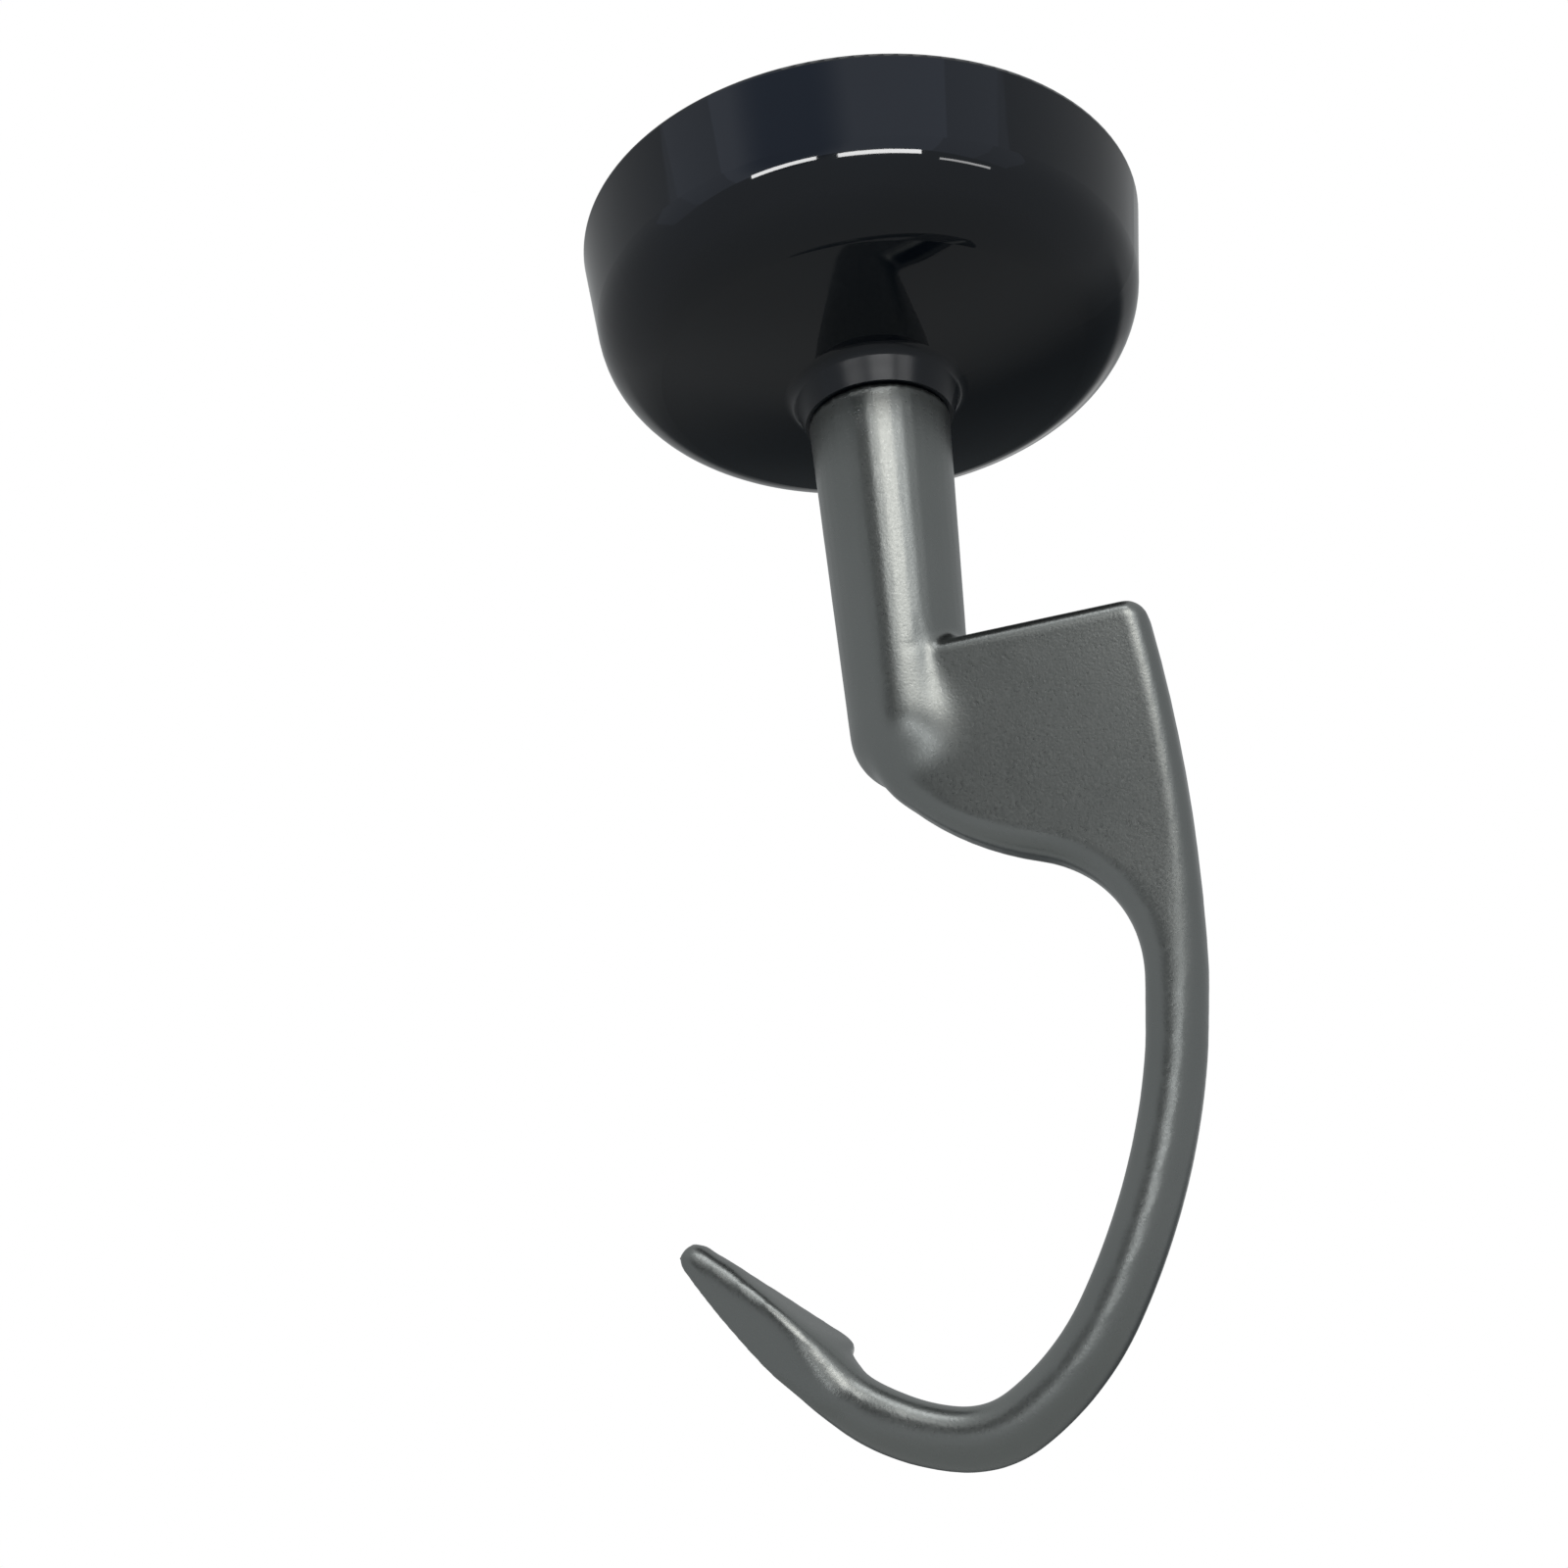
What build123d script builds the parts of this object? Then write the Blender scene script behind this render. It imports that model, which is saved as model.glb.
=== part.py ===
from build123d import *
from math import asin, cos, degrees, radians, sin, sqrt
import os

# Stand mixer dough hook: a cast hook with a hollow drive shaft, a moulded splash cap that sits on the
# shaft's shoulder, and the spring ring that keeps the cap there.
# Millimetres, +Z up. The origin is the middle of the drive socket's mouth, on the shaft's axis.
# The hook hangs down along -Z. Its blade is on the +X side, and its front, which leads through the
# dough, faces -Y.

# Drive socket: a blind bore for the mixer's shaft, with a slot that hooks under the mixer's cross pin
socket_r = 6.45
socket_depth = 34.0
slot_width = 6.4
slot_depth = 11.5
slot_turn = 62.0

# Shaft: a spigot inside the cap, a shoulder that carries the cap, a taper and a round end
spigot_r = 8.4
spigot_chamfer = 0.6
shoulder_r = 9.8
shoulder_z = -26.3
shaft_end_r = 8.06
shaft_end_z = -74.8

# Splash cap: a drafted cup with a domed base and a collar round the shaft
cap_rim_r = 40.0
cap_rim_z = 4.6
cap_base_r = 37.5
cap_base_z = -15.7
cap_corner_r = 12.0
cap_wall = 2.2
cap_rim_round = 0.8
dome_sag = 6.8
collar_end_r = 10.3
collar_foot_r = 11.8
hub_r = 11.0
hub_top_z = -14.0
foot_round = 1.8
cap_clearance = 0.1

# Retaining ring: an open ring of spring steel in a groove above the cap's hub
ring_thickness = 1.2
ring_outer_r = 10.0
ring_gap = 5.0
groove_depth = 0.7
groove_clearance = 0.05

# Hook plane: it leans forward towards the top, and crosses the shaft's axis at cross_z
hook_lean = 4.0
cross_z = -114.0

# Blade: a plate on the hook plane, from the shaft out to the waist where the rod begins
blade_thickness = 7.2
blade_edge_r = 2.6
blade_top = 49.2
blade_corner_r = 3.0
blade_outer_r = 225.0
underside_r = 39.7
elbow_r = 6.7
elbow_turn = 42.0
elbow_u = -5.35
elbow_v = 36.21

# Rod: it leaves the waist nearly straight down and runs through four arcs, given as radius and turn
rod_width = 7.4
rod_edge_r = 3.3
waist_u = 29.63
waist_v = -0.4
waist_angle = 5.85
rod_round_length = 9.0
side_r, side_turn = 87.7, 27.3
bend_r, bend_turn = 33.8, 27.3
heel_r, heel_turn = 11.3, 40.3
toe_r, toe_turn = 27.5, 32.5

# Bill: the end of the rod, slimmer towards the tip. Its inner face is twisted towards the front, so that
# a ridge rises along its front edge, and widens into a lip at the back
bill_length = 25.9
bill_belly = 8.5
bill_belly_width = 7.0
bill_belly_thickness = 6.95
bill_belly_edge_r = 2.9
bill_middle = 17.0
bill_middle_width = 5.4
bill_middle_thickness = 5.8
bill_middle_edge_r = 2.4
bill_tip_width = 3.6
bill_tip_thickness = 3.4
bill_tip_edge_r = 1.6
bill_tip_drop = 0.45
bill_twist = 12.0
bill_rise = 0.65
ridge_r = 0.7
tip_length = 1.3
tip_share = 0.6
lip_root = 3.0
lip_start = 3.4
lip_width = 7.8
lip_end = 22.5
lip_end_width = 1.6
lip_overlap = 1.0
lip_thickness = 2.4
lip_corner_r = 2.5
lip_edge_r = 0.8

# Blend where the blade grows out of the shaft
blend_r = 2.0

os.makedirs("parts", exist_ok=True)

hook_plane = Plane(
    origin=(0, 0, cross_z),
    x_dir=(1, 0, 0),
    z_dir=(0, -cos(radians(hook_lean)), -sin(radians(hook_lean))),
)


def heading(angle):
    """Direction on the hook plane, turned from straight down towards -X by the angle."""
    return (-sin(radians(angle)), -cos(radians(angle)))


def across(curve, end):
    """Section plane at an end of a curve on the hook plane, with its x axis towards the front."""
    return Plane(origin=curve @ end, x_dir=hook_plane.z_dir, z_dir=curve % end)


# Line of the rod: the stretch where the blade's edges turn round, then the four arcs
rounding_turn = degrees(rod_round_length / side_r)
with BuildLine(hook_plane) as rounding_line:
    rounding = JernArc((waist_u, waist_v), heading(waist_angle), side_r, -rounding_turn)
with BuildLine(hook_plane) as rod_line:
    side = JernArc(rounding @ 1, rounding % 1, side_r, rounding_turn - side_turn)
    bend = JernArc(side @ 1, side % 1, bend_r, -bend_turn)
    heel = JernArc(bend @ 1, bend % 1, heel_r, -heel_turn)
    toe = JernArc(heel @ 1, heel % 1, toe_r, -toe_turn)

# Waist: its two ends on the hook plane, and the direction up from it
waist_out = Vector(cos(radians(waist_angle)), -sin(radians(waist_angle))) * (rod_width / 2)
waist_outer = (waist_u + waist_out.X, waist_v + waist_out.Y)
waist_inner = (waist_u - waist_out.X, waist_v - waist_out.Y)
upwards = heading(waist_angle + 180)

# Inner corner: the arc that leaves the waist upwards and meets the underside, which runs on into the elbow
elbow_span = Vector(elbow_u, elbow_v) - Vector(*waist_inner)
elbow_up = elbow_span.dot(Vector(*upwards))
elbow_across = sqrt(elbow_span.length**2 - elbow_up**2)
centre_up = elbow_up + (underside_r - elbow_r) * sin(radians(elbow_turn))
centre_across = elbow_across - elbow_r - (underside_r - elbow_r) * cos(radians(elbow_turn))
inner_corner_r = (centre_across**2 + centre_up**2 - underside_r**2) / (2 * (underside_r + centre_across))
inner_corner_turn = degrees(asin(centre_up / (inner_corner_r + underside_r)))
underside_turn = inner_corner_turn - elbow_turn

# Blade: the outline is drawn from the waist, up the inner side to the shaft, and up the outer edge
outer_rise = (blade_top - waist_outer[1]) / blade_outer_r
outer_turn = waist_angle + degrees(asin(outer_rise - sin(radians(waist_angle))))
with BuildPart() as blade:
    with BuildSketch(hook_plane) as outline:
        with BuildLine():
            inner_corner = JernArc(waist_inner, upwards, inner_corner_r, inner_corner_turn)
            underside = JernArc(inner_corner @ 1, inner_corner % 1, underside_r, -underside_turn)
            elbow = JernArc(underside @ 1, underside % 1, elbow_r, -elbow_turn)
            Polyline(elbow @ 1, elbow.arc_center, (0, blade_top))
            outer = JernArc(waist_outer, upwards, blade_outer_r, outer_turn)
            Line((0, blade_top), outer @ 1)
            Line(waist_outer, waist_inner)
        make_face()
        fillet(outline.vertices().group_by(Axis.Y)[-1].sort_by(Axis.X)[-1], blade_corner_r)
    extrude(amount=blade_thickness / 2, both=True)
    flat_edges = blade.faces().filter_by(hook_plane).edges()
    top_edges = flat_edges.filter_by(GeomType.LINE).filter_by(Axis.X)
    fillet(flat_edges.filter_by(GeomType.CIRCLE) + top_edges, blade_edge_r)

# Rod: the blade's section turns round, then runs along the arcs
with BuildPart() as rod:
    with BuildSketch(across(rounding, 0)):
        RectangleRounded(blade_thickness, rod_width, blade_edge_r)
    with BuildSketch(across(rounding, 1)):
        RectangleRounded(blade_thickness, rod_width, rod_edge_r)
    loft()
    with BuildSketch(across(rounding, 1)):
        RectangleRounded(blade_thickness, rod_width, rod_edge_r)
    sweep(path=rod_line.line)

# Bill: sections hang from the inner face, which is twisted towards the front
along = toe % 1
inward = along.cross(hook_plane.z_dir)
face_normal = inward * cos(radians(bill_twist)) + hook_plane.z_dir * sin(radians(bill_twist))
face_middle = (toe @ 1) + face_normal * (rod_width / 2 + bill_rise)
lip_plane = Plane(origin=face_middle, x_dir=along, z_dir=face_normal)


def bill_section(distance, thickness, drop=0):
    """Section plane of the bill, that far along it, hung by its drop below the inner face."""
    return Plane(
        origin=lip_plane.from_local_coords((distance, 0, -drop - thickness / 2)),
        x_dir=lip_plane.y_dir,
        z_dir=along,
    )


def bill_outline(plane, width, thickness, edge_r, front_r):
    """Rounded section of the bill, with its own radius on the front corner of the inner face."""
    with BuildSketch(plane) as section:
        Rectangle(width, thickness)
        corners = section.vertices().sort_by_distance((width / 2, thickness / 2))
        fillet(corners[0], front_r)
        fillet(corners[1:], edge_r)
    return section.sketch


belly_plane = bill_section(bill_belly, bill_belly_thickness)
middle_plane = bill_section(bill_middle, bill_middle_thickness)
tip_plane = bill_section(bill_length, bill_tip_thickness, bill_tip_drop)
toe_outline = bill_outline(across(toe, 1), blade_thickness, rod_width, rod_edge_r, rod_edge_r)
belly_outline = bill_outline(belly_plane, bill_belly_width, bill_belly_thickness, bill_belly_edge_r, ridge_r)
middle_outline = bill_outline(
    middle_plane, bill_middle_width, bill_middle_thickness, bill_middle_edge_r, ridge_r
)
tip_sizes = (bill_tip_width, bill_tip_thickness, bill_tip_edge_r, bill_tip_edge_r)
tip_outline = bill_outline(tip_plane, *tip_sizes)
end_outline = bill_outline(tip_plane.offset(tip_length), *(tip_share * size for size in tip_sizes))
with BuildPart() as bill:
    loft((toe_outline, belly_outline, middle_outline, tip_outline))
    loft((tip_outline, end_outline))

# Lip: a plate on the twisted face, with its root inside the bill
with BuildPart() as lip:
    with BuildSketch(lip_plane) as lip_outline:
        with BuildLine():
            Polyline(
                (lip_root, -lip_overlap),
                (bill_belly, lip_overlap),
                (lip_end, lip_overlap),
                (lip_end, -lip_end_width),
                (lip_start, -lip_width),
                close=True,
            )
        make_face()
        fillet(lip_outline.vertices().group_by(Axis.Y)[0], lip_corner_r)
    extrude(amount=-lip_thickness)
    fillet(lip.faces().filter_by(lip_plane).edges(), lip_edge_r)

# Hook: shaft, blade, rod and bill are one casting
groove_z = hub_top_z - groove_clearance
groove_r = spigot_r - groove_depth
with BuildPart() as hook:
    with BuildSketch(Plane.XZ):
        with BuildLine():
            Polyline(
                (0, 0),
                (spigot_r, 0),
                (spigot_r, hub_top_z + ring_thickness),
                (groove_r, hub_top_z + ring_thickness),
                (groove_r, groove_z),
                (spigot_r, groove_z),
                (spigot_r, shoulder_z),
                (shoulder_r, shoulder_z),
                (shaft_end_r, shaft_end_z),
            )
            JernArc((shaft_end_r, shaft_end_z), (0, -1), shaft_end_r, -90)
            Line((0, shaft_end_z - shaft_end_r), (0, 0))
        make_face()
    revolve(axis=Axis.Z)
    add(blade.part)
    fillet(hook.edges(Select.NEW), blend_r)
    add(rod.part)
    add(bill.part)
    add(lip.part)
    with BuildSketch(Plane.XY):
        Circle(socket_r)
    extrude(amount=-socket_depth, mode=Mode.SUBTRACT)
    chamfer(hook.faces().sort_by(Axis.Z)[-1].outer_wire().edges(), spigot_chamfer)
    with BuildSketch(Plane.XY):
        with Locations((0, -spigot_r)):
            Rectangle(slot_width, spigot_r)
    extrude(amount=-slot_depth, mode=Mode.SUBTRACT)
    with BuildSketch(Plane.YZ):
        with Locations((-spigot_r, -slot_depth + slot_width / 2)):
            Rectangle(spigot_r, slot_width)
    revolve(axis=Axis.Z, revolution_arc=slot_turn, mode=Mode.SUBTRACT)
hook.part.label = "hook"
export_step(hook.part, "parts/hook.step")

# Cap: one section turned round the axis, with the two faces of the dome drawn round one centre
dome_r = (cap_base_r**2 + dome_sag**2) / (2 * dome_sag)
inner_dome_r = dome_r - cap_wall


def on_dome(radius, r):
    """Point of the cap's section at distance r from the axis, on the dome of that radius."""
    return (r, cap_base_z - dome_sag + dome_r - sqrt(radius**2 - r**2))


cup_outer = (cap_base_r, cap_base_z)
cup_inner = on_dome(inner_dome_r, cap_base_r - cap_wall)
rim_outer = (cap_rim_r, cap_rim_z)
rim_inner = (cap_rim_r - cap_wall, cap_rim_z)
collar_foot = on_dome(dome_r, collar_foot_r)
hub_foot = on_dome(inner_dome_r, hub_r)
bore_r = spigot_r + cap_clearance
with BuildPart() as cap:
    with BuildSketch(Plane.XZ) as section:
        with BuildLine():
            RadiusArc(collar_foot, cup_outer, -dome_r)
            Polyline(cup_outer, rim_outer, rim_inner, cup_inner)
            RadiusArc(cup_inner, hub_foot, inner_dome_r)
            Polyline(
                hub_foot,
                (hub_r, hub_top_z),
                (bore_r, hub_top_z),
                (bore_r, shoulder_z),
                (collar_end_r, shoulder_z),
                collar_foot,
            )
        make_face()
        rounds = (
            (cup_outer, cap_corner_r),
            (cup_inner, cap_corner_r - cap_wall),
            (rim_outer, cap_rim_round),
            (rim_inner, cap_rim_round),
            (collar_foot, foot_round),
            (hub_foot, foot_round),
        )
        for corner, radius in rounds:
            fillet(section.vertices().sort_by_distance(corner)[0], radius)
    revolve(axis=Axis.Z)
cap.part.label = "cap"
export_step(cap.part, "parts/cap.step")

# Retaining ring: it lies on the cap's hub, in the groove of the spigot
with BuildPart() as retaining_ring:
    with BuildSketch(Plane.XY.offset(hub_top_z)):
        Circle(ring_outer_r)
        Circle(groove_r + groove_clearance, mode=Mode.SUBTRACT)
        with Locations((0, ring_outer_r)):
            Rectangle(ring_gap, ring_outer_r, mode=Mode.SUBTRACT)
    extrude(amount=ring_thickness)
retaining_ring.part.label = "retaining_ring"
export_step(retaining_ring.part, "parts/retaining_ring.step")
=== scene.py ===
# %% [markdown]
# A dough hook for a stand mixer, seen from below and in front.
# The solids come packed from the CAD model and stay where they are: one casting, the
# moulded splash cap on its shaft, and the spring ring that holds the cap up. This script
# softens a copy of the casting, gives the pieces their finishes, and sets up the floor, the
# light and the camera. Lengths are in metres, unless a comment says mm.

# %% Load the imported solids
from math import cos, radians, sin

import bmesh
import bpy
import numpy as np
from mathutils import Matrix, Vector


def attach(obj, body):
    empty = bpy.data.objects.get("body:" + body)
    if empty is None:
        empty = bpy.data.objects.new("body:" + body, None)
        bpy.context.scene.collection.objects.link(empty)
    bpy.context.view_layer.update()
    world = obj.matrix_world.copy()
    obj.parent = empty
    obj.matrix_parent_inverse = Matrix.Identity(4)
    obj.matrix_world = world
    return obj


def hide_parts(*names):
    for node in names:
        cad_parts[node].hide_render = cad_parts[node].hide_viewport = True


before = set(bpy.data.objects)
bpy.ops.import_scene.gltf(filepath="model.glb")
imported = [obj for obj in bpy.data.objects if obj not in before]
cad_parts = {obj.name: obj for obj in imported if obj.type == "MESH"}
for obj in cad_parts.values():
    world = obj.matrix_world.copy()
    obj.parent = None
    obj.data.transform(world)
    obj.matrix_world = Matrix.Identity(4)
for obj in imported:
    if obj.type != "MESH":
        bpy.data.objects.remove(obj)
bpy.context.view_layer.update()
hook_solid, cap, ring = (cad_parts[name] for name in ("hook", "cap", "retaining_ring"))
print("nodes:", sorted(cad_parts))

# %% [markdown]
# The camera stands below the hook and a little to its right, and looks up. Its place was
# worked out from the ellipses of the cap's rim and the shaft, so the solids fall on their
# own outlines. A lens of about 59 mm on a 36 mm sensor gives the same perspective.

# %% Camera
eye = Vector((0.06503, -0.29335, -0.22700))
right = Vector((0.94996, 0.30423, -0.07085))
up = Vector((0.19456, -0.39879, 0.89617))
back = right.cross(up).normalized()

camera_data = bpy.data.cameras.new("camera")
camera_data.sensor_width = 36.0
camera_data.lens = 59.085
camera_data.clip_start = 0.01
camera_data.clip_end = 20.0
camera = bpy.data.objects.new("camera", camera_data)
camera.matrix_world = Matrix.Translation(eye) @ Matrix((right, up, back)).transposed().to_4x4()
bpy.context.scene.collection.objects.link(camera)
bpy.context.scene.camera = camera
bpy.context.scene.view_settings.view_transform = "Standard"
print("camera at", tuple(round(v, 3) for v in eye))

# %% [markdown]
# The casting: on the real hook the forms melt into each other, because they were shaped in
# one mould and then blasted and coated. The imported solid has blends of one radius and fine
# creases between its forms. They could be softened with a sculpting brush. Here the mesh is
# remade in even squares, which a smoothing step can move, so the same script always gives
# the same shape. The spigot with its socket and groove is machined, so it keeps the packed
# mesh. The two halves meet inside the cap's collar, out of sight.

# %% Split the casting below its spigot
split_height = -0.0245


def hook_half(name, keep_top):
    """The casting's mesh above or below the split, closed with a flat face there."""
    half = bmesh.new()
    half.from_mesh(hook_solid.data)
    bmesh.ops.remove_doubles(half, verts=half.verts, dist=1e-6)
    bmesh.ops.bisect_plane(half, geom=half.verts[:] + half.edges[:] + half.faces[:], dist=1e-7,
                           plane_co=(0, 0, split_height), plane_no=(0, 0, 1),
                           clear_inner=keep_top, clear_outer=not keep_top)
    rim = [edge for edge in half.edges if edge.is_boundary]
    bmesh.ops.triangle_fill(half, edges=rim, use_beauty=True)
    bmesh.ops.recalc_face_normals(half, faces=half.faces)
    mesh = bpy.data.meshes.new(name)
    half.to_mesh(mesh)
    half.free()
    return mesh


spigot_mesh = hook_half("spigot", True)
rough_mesh = hook_half("arm", False)
print("spigot:", len(spigot_mesh.polygons), "faces, arm:", len(rough_mesh.polygons), "faces")

# %% Remake the arm in even squares
square_side = 0.00037
arm = bpy.data.objects.new("arm", rough_mesh)
bpy.context.scene.collection.objects.link(arm)
remesh = arm.modifiers.new("even_squares", "REMESH")
remesh.mode = "VOXEL"
remesh.voxel_size = square_side
depsgraph = bpy.context.evaluated_depsgraph_get()
even_mesh = bpy.data.meshes.new_from_object(arm.evaluated_get(depsgraph))
bpy.data.objects.remove(arm)
print("even squares:", len(even_mesh.polygons), "of", 1000 * square_side, "mm")

# %% [markdown]
# Smoothing moves each vertex towards the mean of its neighbours. Done twice, once inwards and
# once a little further outwards, it takes out ripples and doesn't shrink the form. Done inwards
# only, it wears a crease down, as blasting does. A mask from 0 to 1 says how much of each
# move a vertex makes, so that a step stays in its place and fades out at its border.

# %% Smoothing
count = len(even_mesh.vertices)
points = np.empty(3 * count)
even_mesh.vertices.foreach_get("co", points)
points = points.reshape(count, 3)
normals = np.empty(3 * count)
even_mesh.vertices.foreach_get("normal", normals)
normals = normals.reshape(count, 3)
ends = np.empty(2 * len(even_mesh.edges), dtype=np.int64)
even_mesh.edges.foreach_get("vertices", ends)
here = np.concatenate((ends[0::2], ends[1::2]))
there = np.concatenate((ends[1::2], ends[0::2]))
neighbours = np.bincount(here, minlength=count)


def pull():
    """Way from each vertex to the mean of its neighbours."""
    sums = [np.bincount(here, weights=points[there, axis], minlength=count) for axis in range(3)]
    return np.stack(sums, axis=1) / neighbours[:, None] - points


def smooth(times, mask=1.0, inwards=0.5, outwards=0.0):
    """Move the masked vertices by a share of their pull, and back out by another share."""
    for _ in range(times):
        points[:] += inwards * mask * pull()
        if outwards:
            points[:] -= outwards * mask * pull()


def nearness(centre, reach):
    """1 at the centre, fading to 0 at the reach."""
    share = np.clip(1 - np.linalg.norm(points - np.array(centre), axis=1) / reach, 0, 1)
    return (share * share * (3 - 2 * share))[:, None]


smooth(10, outwards=0.53)
print("smoothed:", count, "vertices")

# %% [markdown]
# The rod is nearly round on the real hook, and its solid has flats between rounded edges. A
# subdivision surface would round it, but would pull at the blade too. Worn down inwards, the
# section turns round and gets thinner, so it is then pushed back out by the mean that it
# lost. Its lowest point is held above the solid's, which keeps the overall height.

# %% Round the rod
rod_top, top_fade = -0.098, 0.014
rod_end, end_fade = -0.018, 0.008
lowest = -0.16938
rod = np.clip((rod_top - points[:, 2]) / top_fade, 0, 1)
rod = (rod * np.clip((points[:, 0] - rod_end) / end_fade, 0, 1))[:, None]
sharp = points.copy()
smooth(60, rod)
lost = ((sharp - points) * normals).sum(axis=1)[rod[:, 0] > 0.9].mean()
points += lost * rod * normals
points[:, 2] = np.maximum(points[:, 2], lowest)
print("rod rounded, pushed back out by", round(1000 * float(lost), 2), "mm")

# %% [markdown]
# The bill is the twisted end of the rod, with a ridge along its front. On the real casting
# the ridge is a soft line and the root runs into the rod without a step. A fillet needs a
# clean edge to follow, and this ridge has none near its root. So a band along the ridge's
# line is worn down, and a round patch at the root.

# %% Soften the bill
bill_start, bill_fade, bill_top = -0.013, 0.006, -0.12
bill = np.clip((bill_start - points[:, 0]) / bill_fade, 0, 1)[:, None] * (points[:, 2:] < bill_top)
smooth(60, bill, inwards=0.6, outwards=0.61)
smooth(150, nearness((-0.0172, -0.0006, -0.1568), 0.009))
ridge_tip = np.array((-0.0335, -0.0010, -0.1385))
ridge_root = np.array((-0.0162, -0.0003, -0.1566))
ridge_way = ridge_root - ridge_tip
along = np.clip((points - ridge_tip) @ ridge_way / np.sum(ridge_way ** 2), 0, 1)[:, None]
ridge = nearness(ridge_tip + along * ridge_way, 0.0032)
smooth(90, ridge)
print("ridge: worn over", int((ridge > 0).sum()), "vertices")

# %% [markdown]
# The elbow is the corner where the round end of the shaft meets the blade's lower edge. First
# its hollow is filled: a vertex moves only where its neighbours lie outside it, so the
# fillet grows and the rest stays. Then the corner is worn down, and the outline is swelled by a
# quarter of a millimetre, all through the thickness. The sharp corner between the blade's top
# and the shaft is worn down too, and a last light pass evens out the whole arm.

# %% Fill the elbow
swell = 0.00025
elbow_crease = np.minimum(2 * nearness((-0.0038, -0.0038, -0.0823), 0.008), 1)
for _ in range(300):
    hollow = np.clip((pull() * normals).sum(axis=1), 0, None)[:, None]
    points += 0.9 * elbow_crease * hollow * normals
smooth(100, nearness((-0.0038, -0.0040, -0.0822), 0.0065))
# The centre takes on each vertex's own y, so only the distance in the hook's plane counts.
outline = nearness(points * (0, 1, 0) + np.array((-0.0028, 0, -0.0841)), 0.0040)
points += swell * outline * normals
notch = nearness((0.0044, -0.0070, -0.0664), 0.0028)
smooth(30, notch)
smooth(10, bill)
smooth(6, outwards=0.53)
print("elbow: filled over", int((elbow_crease > 0).sum()), "vertices")

# %% [markdown]
# The shaft's end: on the real casting the round shaft runs out on the flat blade. Its side
# flares into the blade, more the lower it gets, and its end slopes down to the flat. A fillet
# of one radius can't show that. So the front is shaped as a height over the blade's flat:
# the round of the shaft, with its steepest side slope eased downwards, times a soft end.

# %% Run the shaft out on the blade
def eased(value, start, end):
    """0 before the start, 1 past the end, smooth between. The end may be the lower one."""
    share = np.clip((value - start) / (end - start), 0, 1)
    return share * share * (3 - 2 * share)


# In mm, as distances in front of the shaft's axis. The blade's flat leans by 4 degrees, and
# the shaft gets slimmer downwards.
x, z = points[:, 0] * 1000, points[:, 2] * 1000
blade_front = 6.29 + 0.0701 * (z + 75.42)
shaft_r = 8.06 + 0.035 * (np.maximum(z, -76) + 74.8)
side_slope = 1.0 - 0.55 * np.clip((-z - 65.0) / 11.0, 0, 1)
bend = shaft_r * side_slope / np.sqrt(1 + side_slope ** 2)
round_front = np.sqrt(np.maximum(shaft_r ** 2 - np.minimum(x, bend) ** 2, 0))
rise = round_front - side_slope * np.maximum(x - bend, 0) - blade_front
foot_blend = 0.08 + 0.50 * np.clip((-z - 66.0) / 10.0, 0, 1)
rise = 0.5 * (rise + np.sqrt(rise ** 2 + foot_blend ** 2))
rise *= 1 - eased(-z, 75.0, 84.0)
facing_front = eased(-normals[:, 1], 0.25, 0.6)
mask = eased(-z, 66.0, 68.0) * eased(x, -6.5, -2.0) * facing_front * eased(-z, 92.0, 87.0)
mask *= eased(x, 16.0, 12.0)
move = mask * (rise - np.maximum(-points[:, 1] * 1000 - blade_front, 0))
points[:, 1] -= move / 1000
smooth(90, nearness((0.001, -0.0065, -0.0780), 0.013))
even_mesh.vertices.foreach_set("co", points.ravel())
print("shaft end: moved", round(float(np.abs(move).max()), 2), "mm at most")

# %% Join spigot and arm
spigot_mesh.shade_smooth()
spigot_mesh.set_sharp_from_angle(angle=radians(35))
even_mesh.shade_smooth()
casting = bmesh.new()
casting.from_mesh(spigot_mesh)
casting.from_mesh(even_mesh)
hook_mesh = bpy.data.meshes.new("hook_casting")
casting.to_mesh(hook_mesh)
casting.free()
hook = bpy.data.objects.new("hook_casting", hook_mesh)
bpy.context.scene.collection.objects.link(hook)
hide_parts("hook")
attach(hook, "root")
print("casting:", len(hook_mesh.polygons), "faces")

# %% [markdown]
# Colours are written as sRGB hex values, as a paint chart gives them, and turned to the
# linear values that a shader works in. One small function adds a shader node, sets its
# values and links its inputs, so that a finish reads as a short list. An input is called by
# its name, or by its number where nodes give several inputs one name: i0 is the first.

# %% Helpers for finishes
def linear(code):
    """Linear colour, with full alpha, of an sRGB hex code."""
    channels = [int(code[i:i + 2], 16) / 255 for i in (1, 3, 5)]
    return tuple(c / 12.92 if c <= 0.04045 else ((c + 0.055) / 1.055) ** 2.4
                 for c in channels) + (1.0,)


def add(tree, kind, settings=None, **inputs):
    """A new node, with its settings made and its inputs set or linked."""
    node = tree.nodes.new(kind)
    for name, value in (settings or {}).items():
        setattr(node, name, value)
    for name, value in inputs.items():
        numbered = name[0] == "i" and name[1:].isdigit()
        key = int(name[1:]) if numbered else name.replace("_", " ")
        if isinstance(value, bpy.types.NodeSocket):
            tree.links.new(value, node.inputs[key])
        else:
            node.inputs[key].default_value = value
    return node


colour_mix = {"data_type": "RGBA"}
soft_range = {"interpolation_type": "SMOOTHSTEP"}
product, larger = {"operation": "MULTIPLY"}, {"operation": "MAXIMUM"}
print("mid grey is", round(linear("#808080")[0], 3), "linear")

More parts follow.
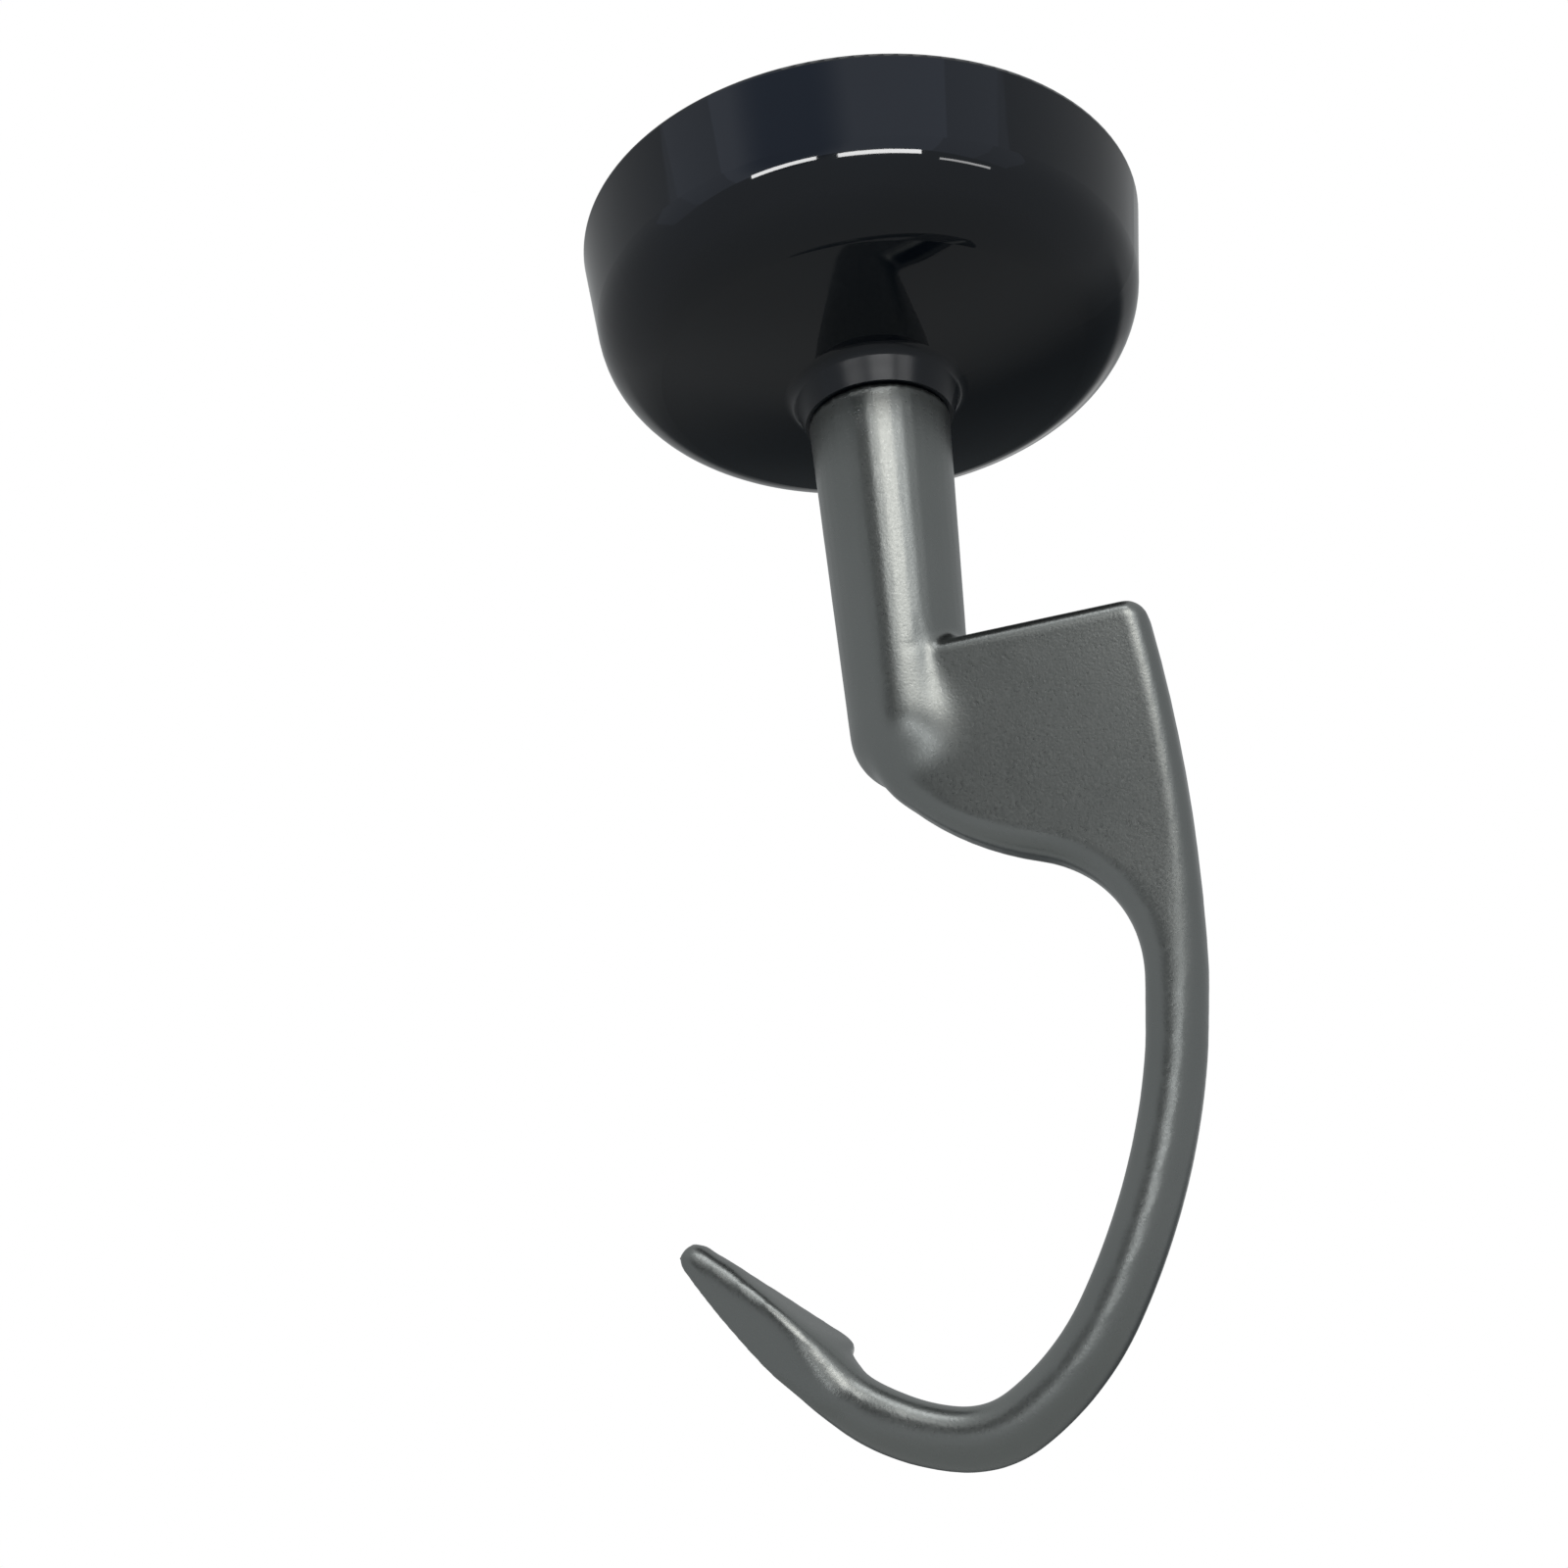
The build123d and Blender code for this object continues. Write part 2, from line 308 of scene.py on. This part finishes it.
# %% [markdown]
# The room: the hook hangs in front of a white background, and faces a soft grey room. The
# world is white where the camera sees it, and where metal and gloss reflect what lies straight
# behind the object. The rest is grey, with a lighter ceiling and a darker patch low down
# at the back. One dim spot in front is what the flat blade mirrors, so the blade stays
# darker than the round shaft. A picture of a studio could do this, but the parts of a
# room made from directions can be moved one by one.

# %% Room
world = bpy.data.worlds.new("soft_room")
world.use_nodes = True
bpy.context.scene.world = world
tree = world.node_tree
tree.nodes.clear()
way = add(tree, "ShaderNodeTexCoord").outputs["Generated"]
axes = add(tree, "ShaderNodeSeparateXYZ", Vector=way).outputs

dim_spot = (-0.153, -0.914, 0.375)
towards = add(tree, "ShaderNodeVectorMath", {"operation": "DOT_PRODUCT"}, i0=way, i1=dim_spot)
facing = add(tree, "ShaderNodeMapRange", soft_range, Value=towards.outputs["Value"],
             From_Min=0.92, From_Max=0.99)
walls = add(tree, "ShaderNodeMix", colour_mix, i0=facing.outputs["Result"],
            i6=linear("#A8AAAB"), i7=linear("#383A3A"))
above = add(tree, "ShaderNodeMapRange", soft_range, Value=axes["Z"], From_Min=0.45, From_Max=0.9)
ceiling = add(tree, "ShaderNodeMix", colour_mix, i0=above.outputs["Result"],
              i6=walls.outputs[2], i7=linear("#B4B6B6"))
rear = add(tree, "ShaderNodeMapRange", soft_range, Value=axes["Y"], From_Min=0.55, From_Max=0.9)
low = add(tree, "ShaderNodeMapRange", soft_range, Value=axes["Z"], From_Min=0.15, From_Max=-0.05)
under = add(tree, "ShaderNodeMath", product, i0=rear.outputs["Result"], i1=low.outputs["Result"])
room = add(tree, "ShaderNodeMix", colour_mix, i0=under.outputs[0],
           i6=ceiling.outputs[2], i7=linear("#54585A"))
print("world:", world.name)

# %% White background
centre = add(tree, "ShaderNodeMapRange", soft_range, Value=axes["Y"],
             From_Min=0.92, From_Max=0.99)
high = add(tree, "ShaderNodeMapRange", soft_range, Value=axes["Z"], From_Min=0.05, From_Max=0.25)
behind = add(tree, "ShaderNodeMath", product, i0=centre.outputs["Result"],
             i1=high.outputs["Result"])
rays = add(tree, "ShaderNodeLightPath").outputs
gloss = add(tree, "ShaderNodeMath", larger, i0=rays["Is Glossy Ray"],
            i1=rays["Is Transmission Ray"])
mirrored = add(tree, "ShaderNodeMath", product, i0=gloss.outputs[0], i1=behind.outputs[0])
white_share = add(tree, "ShaderNodeMath", larger, i0=mirrored.outputs[0],
                  i1=rays["Is Camera Ray"])
seen = add(tree, "ShaderNodeMix", colour_mix, i0=white_share.outputs[0],
           i6=room.outputs[2], i7=linear("#FFFFFF"))
sky = add(tree, "ShaderNodeBackground", Color=seen.outputs[2], Strength=1.0)
add(tree, "ShaderNodeOutputWorld", Surface=sky.outputs["Background"])
print("world nodes:", len(tree.nodes))

# %% [markdown]
# The lamps are soft boxes, as in a studio. Four key boxes of growing width lie over each
# other: together they are bright in the middle and fade to the sides, as a box behind a
# diffuser does, and draw the long soft highlight down the shaft. One box from above and one
# low down light the lower rod. Three cool wide boxes fade in the same way over the wall of the
# cap, and three thin strips show as short white lines on its rounded edge. On a set, grids
# keep each box on its own piece. Light linking does that here.

# %% Lamps
hook_middle = Vector((0.0, 0.0, -0.08))
cap_edge = Vector((0.01, -0.036, -0.012))
white, warm, cool = "#FFFFFF", "#FFF6EA", "#C4D2F0"
# Each row: name, azimuth from the front and elevation in degrees, width, height, watts, colour.
hook_boxes = (("key_middle", 19, 31, 0.50, 0.31, 0.90, warm),
              ("key", 20, 31, 0.85, 0.31, 0.85, white),
              ("key_broad", 24, 31, 1.15, 0.31, 0.80, white),
              ("key_wide", 28, 32, 1.40, 0.25, 0.24, white),
              ("top", 9, 58, 0.50, 0.34, 1.10, white),
              ("low", 8, 1, 0.50, 0.15, 0.58, white))
cap_boxes = (("cap_front_middle", 5, 34, 1.0, 0.56, 0.95, cool),
             ("cap_front", 5, 34, 1.8, 0.56, 0.95, cool),
             ("cap_front_wide", 5, 34, 3.0, 0.56, 0.90, cool))
cap_strips = (("strip_left", -13.5, 7.0, 0.54, 0.09, 3.0, white),
              ("strip_middle", 23, 5.2, 0.68, 0.11, 4.7, white),
              ("strip_right", 55.5, -1.5, 0.42, 0.05, 0.5, white))


def softbox(lit, aim, distance, name, azimuth, elevation, width, height, power, colour):
    """An area lamp that faces the aim from a distance and lights one piece."""
    lamp = bpy.data.lights.new(name, "AREA")
    lamp.shape = "RECTANGLE"
    lamp.size = width
    lamp.size_y = height
    lamp.energy = power
    lamp.color = linear(colour)[:3]
    box = bpy.data.objects.new(name, lamp)
    turn, tilt = radians(azimuth), radians(elevation)
    away = Vector((sin(turn) * cos(tilt), -cos(turn) * cos(tilt), sin(tilt)))
    box.location = aim + distance * away
    box.rotation_euler = away.to_track_quat("Z", "Y").to_euler()
    box.visible_camera = False
    bpy.context.scene.collection.objects.link(box)
    lit_piece = bpy.data.collections.new(name + "_lights")
    lit_piece.objects.link(lit)
    box.light_linking.receiver_collection = lit_piece


for row in hook_boxes:
    softbox(hook, hook_middle, 1.2, *row)
for row in cap_boxes:
    softbox(cap, cap_edge, 0.6, *row)
for row in cap_strips:
    softbox(cap, cap_edge, 1.2, *row)
print("lamps:", len(bpy.data.lights))

# %% [markdown]
# The floor is a pale round sheet under the hook. It fades out towards its rim, so that no
# horizon line shows in the views from above. A curved backdrop would do the same on a set, but
# would stand in the way of the views from behind.

# %% Floor
floor_z, floor_r = -0.27, 1.2
fade_start, fade_end = 0.22, 0.55
floor_mesh = bpy.data.meshes.new("floor")
shape = bmesh.new()
bmesh.ops.create_circle(shape, cap_ends=True, segments=96, radius=floor_r)
bmesh.ops.translate(shape, vec=(0, 0, floor_z), verts=shape.verts)
shape.to_mesh(floor_mesh)
shape.free()
floor = bpy.data.objects.new("floor", floor_mesh)
bpy.context.scene.collection.objects.link(floor)
print("floor at", floor_z, "m")


# %% Pale paper
def finish(name):
    """A new material with an empty node tree."""
    material = bpy.data.materials.new(name)
    material.use_nodes = True
    material.node_tree.nodes.clear()
    return material, material.node_tree


sheet, tree = finish("pale_paper_floor")
place = add(tree, "ShaderNodeTexCoord").outputs["Object"]
reach = add(tree, "ShaderNodeVectorMath", {"operation": "LENGTH"}, Vector=place)
fade = add(tree, "ShaderNodeMapRange", soft_range, Value=reach.outputs["Value"],
           From_Min=fade_start, From_Max=fade_end)
paper = add(tree, "ShaderNodeBsdfDiffuse", Color=linear("#EDEDEB"))
clear = add(tree, "ShaderNodeBsdfTransparent")
faded = add(tree, "ShaderNodeMixShader", i0=fade.outputs["Result"],
            i1=paper.outputs[0], i2=clear.outputs[0])
add(tree, "ShaderNodeOutputMaterial", Surface=faded.outputs[0])
floor_mesh.materials.append(sheet)
print("floor:", sheet.name)

# %% [markdown]
# The casting has a satin metallic coat: grey, smooth to the hand, with a fine grain that
# sparkles in the highlight. A metal shader of middling roughness gives the soft highlights,
# and one noise drives both its polish and its relief. The real grain is under a tenth of a
# millimetre, too fine to show from here, so it is drawn coarser. The tone drifts a little over
# a centimetre or two, as sprayed coats do.

# %% Satin metallic coat
drift_size, grain_size = 18.0, 0.36  # mm, the grain drawn coarser than the real one
coat, tree = finish("satin_metallic_coat_on_casting")
place = add(tree, "ShaderNodeTexCoord").outputs["Object"]
drift = add(tree, "ShaderNodeTexNoise", Vector=place, Scale=1000 / drift_size, Detail=2.0)
tone = add(tree, "ShaderNodeMix", colour_mix, i0=drift.outputs["Fac"],
           i6=linear("#878B8A"), i7=linear("#929594"))
grain = add(tree, "ShaderNodeTexNoise", Vector=place, Scale=1000 / grain_size, Detail=2.0)
polish = add(tree, "ShaderNodeMapRange", Value=grain.outputs["Fac"], To_Min=0.23, To_Max=0.37)
relief = add(tree, "ShaderNodeBump", Height=grain.outputs["Fac"], Strength=0.16,
             Distance=0.0001)
skin = add(tree, "ShaderNodeBsdfPrincipled", Base_Color=tone.outputs[2], Metallic=1.0,
           Roughness=polish.outputs["Result"], Normal=relief.outputs["Normal"])
add(tree, "ShaderNodeOutputMaterial", Surface=skin.outputs[0])
hook_mesh.materials.append(coat)
print("hook:", coat.name)

# %% [markdown]
# The cap is gloss black plastic straight from a polished mould: nearly a mirror, with a few
# wiped smears that soften a reflection here and there. The collar round the shaft looks duller,
# so it is satin. A second material would need a cut in the mesh there. The distance from
# the shaft's axis makes the change inside one material.

# %% Gloss moulded plastic
smear_size = 22.0  # mm
collar_r, gloss_r = 0.0122, 0.0130
plastic, tree = finish("gloss_moulded_black_plastic")
place = add(tree, "ShaderNodeTexCoord").outputs["Object"]
smear = add(tree, "ShaderNodeTexNoise", Vector=place, Scale=1000 / smear_size, Detail=4.0)
gloss = add(tree, "ShaderNodeMapRange", Value=smear.outputs["Fac"], From_Min=0.35, From_Max=0.75,
            To_Min=0.03, To_Max=0.10)
tint = add(tree, "ShaderNodeMix", colour_mix, i0=smear.outputs["Fac"],
           i6=linear("#04080E"), i7=linear("#091018"))
level = add(tree, "ShaderNodeVectorMath", product, i0=place, i1=(1.0, 1.0, 0.0))
from_axis = add(tree, "ShaderNodeVectorMath", {"operation": "LENGTH"}, i0=level.outputs[0])
collar = add(tree, "ShaderNodeMapRange", Value=from_axis.outputs["Value"], From_Min=collar_r,
             From_Max=gloss_r, To_Min=0.24, To_Max=0.0)
polish = add(tree, "ShaderNodeMath", larger, i0=gloss.outputs["Result"],
             i1=collar.outputs["Result"])
skin = add(tree, "ShaderNodeBsdfPrincipled", Base_Color=tint.outputs[2],
           Roughness=polish.outputs[0], IOR=1.47)
add(tree, "ShaderNodeOutputMaterial", Surface=skin.outputs[0])
cap.material_slots[0].material = plastic
print("cap:", plastic.name)

# %% [markdown]
# The ring is spring steel strip, tumbled and lightly oiled, so it is bright with a fine dull
# speckle. It sits inside the cap, where only a look from above finds it, and one noise for
# both polish and tone is enough.

# %% Spring steel
tumble_size = 0.8  # mm
steel, tree = finish("tumbled_spring_steel")
place = add(tree, "ShaderNodeTexCoord").outputs["Object"]
tumble = add(tree, "ShaderNodeTexNoise", Vector=place, Scale=1000 / tumble_size, Detail=3.0)
polish = add(tree, "ShaderNodeMapRange", Value=tumble.outputs["Fac"], To_Min=0.22, To_Max=0.40)
tone = add(tree, "ShaderNodeMix", colour_mix, i0=tumble.outputs["Fac"],
           i6=linear("#A9ABAD"), i7=linear("#BDBFC0"))
skin = add(tree, "ShaderNodeBsdfPrincipled", Base_Color=tone.outputs[2], Metallic=1.0,
           Roughness=polish.outputs["Result"])
add(tree, "ShaderNodeOutputMaterial", Surface=skin.outputs[0])
ring.material_slots[0].material = steel
print("ring:", steel.name)
